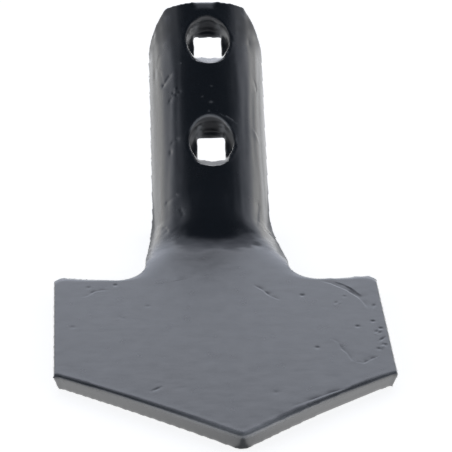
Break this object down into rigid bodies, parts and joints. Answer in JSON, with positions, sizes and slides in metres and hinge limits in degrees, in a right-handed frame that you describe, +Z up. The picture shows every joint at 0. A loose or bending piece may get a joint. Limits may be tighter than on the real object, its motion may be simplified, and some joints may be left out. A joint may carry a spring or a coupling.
{
  "type": "cultivator sweep",
  "caption": "Forged steel cultivator sweep: a flat arrow-shaped blade bent up into a round-fronted shank with two sunk square bolt holes and a rear channel for a spring tine.",
  "frame": {"origin": "underside of the blade on the centre line, level with the two cutting corners", "axes": "+Y runs from the nose back to the shank, +Z is up from the ground, X runs across the wings"},
  "size_m": [0.1219, 0.2191, 0.0673],
  "materials": {
    "paint": "satin"
  },
  "bodies": {
    "root": {"sweep": "paint"}
  },
  "joints": []
}
